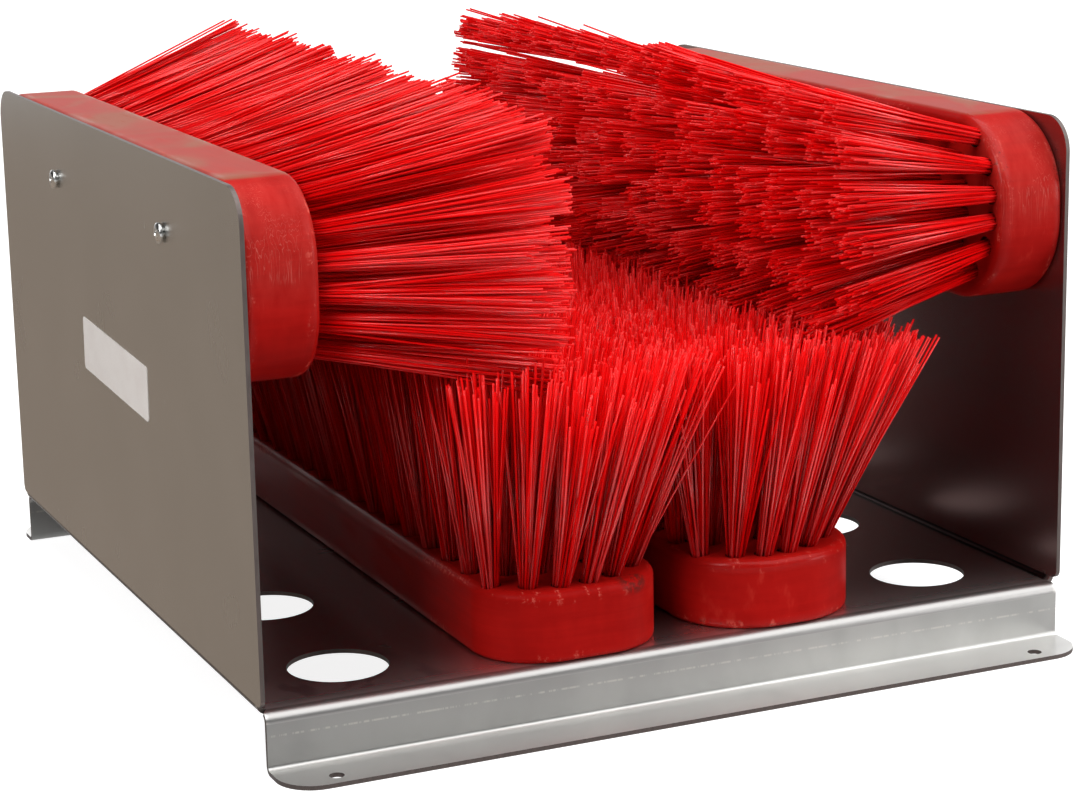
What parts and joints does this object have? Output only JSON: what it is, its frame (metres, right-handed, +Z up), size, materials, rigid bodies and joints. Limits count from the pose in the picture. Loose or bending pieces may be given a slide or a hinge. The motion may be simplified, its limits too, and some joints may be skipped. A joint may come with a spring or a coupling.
{
  "type": "boot scraper",
  "caption": "Boot scraper: a folded sheet-steel tray with screw-down feet and drain holes, with red bristle brushes screwed to its floor and side walls.",
  "frame": {"origin": "on the ground under the middle of the tray", "axes": "+Z up, +Y to the back along the brushes, +X to the right as seen from the front"},
  "size_m": [0.3046, 0.34, 0.2088],
  "materials": {
    "tray_steel": "satin mill-finish sheet steel",
    "block_paint": "wood with glossy red paint, brushed on",
    "bristle_red": "glossy red plastic filaments",
    "screw_zinc": "bright zinc plate",
    "label_white": "blank white film label"
  },
  "bodies": {
    "root": {"tray": "tray_steel", "block_floor_left": "block_paint", "bristles_floor_left": "bristle_red", "block_floor_right": "block_paint", "bristles_floor_right": "bristle_red", "block_wall_left": "block_paint", "bristles_wall_left": "bristle_red", "block_wall_right": "block_paint", "bristles_wall_right": "bristle_red", "screw_wall_left_front": "screw_zinc", "screw_wall_left_rear": "screw_zinc", "screw_wall_right_front": "screw_zinc", "screw_wall_right_rear": "screw_zinc", "screw_floor_left_front": "screw_zinc", "screw_floor_left_rear": "screw_zinc", "screw_floor_right_front": "screw_zinc", "screw_floor_right_rear": "screw_zinc", "label": "label_white"}
  },
  "joints": []
}
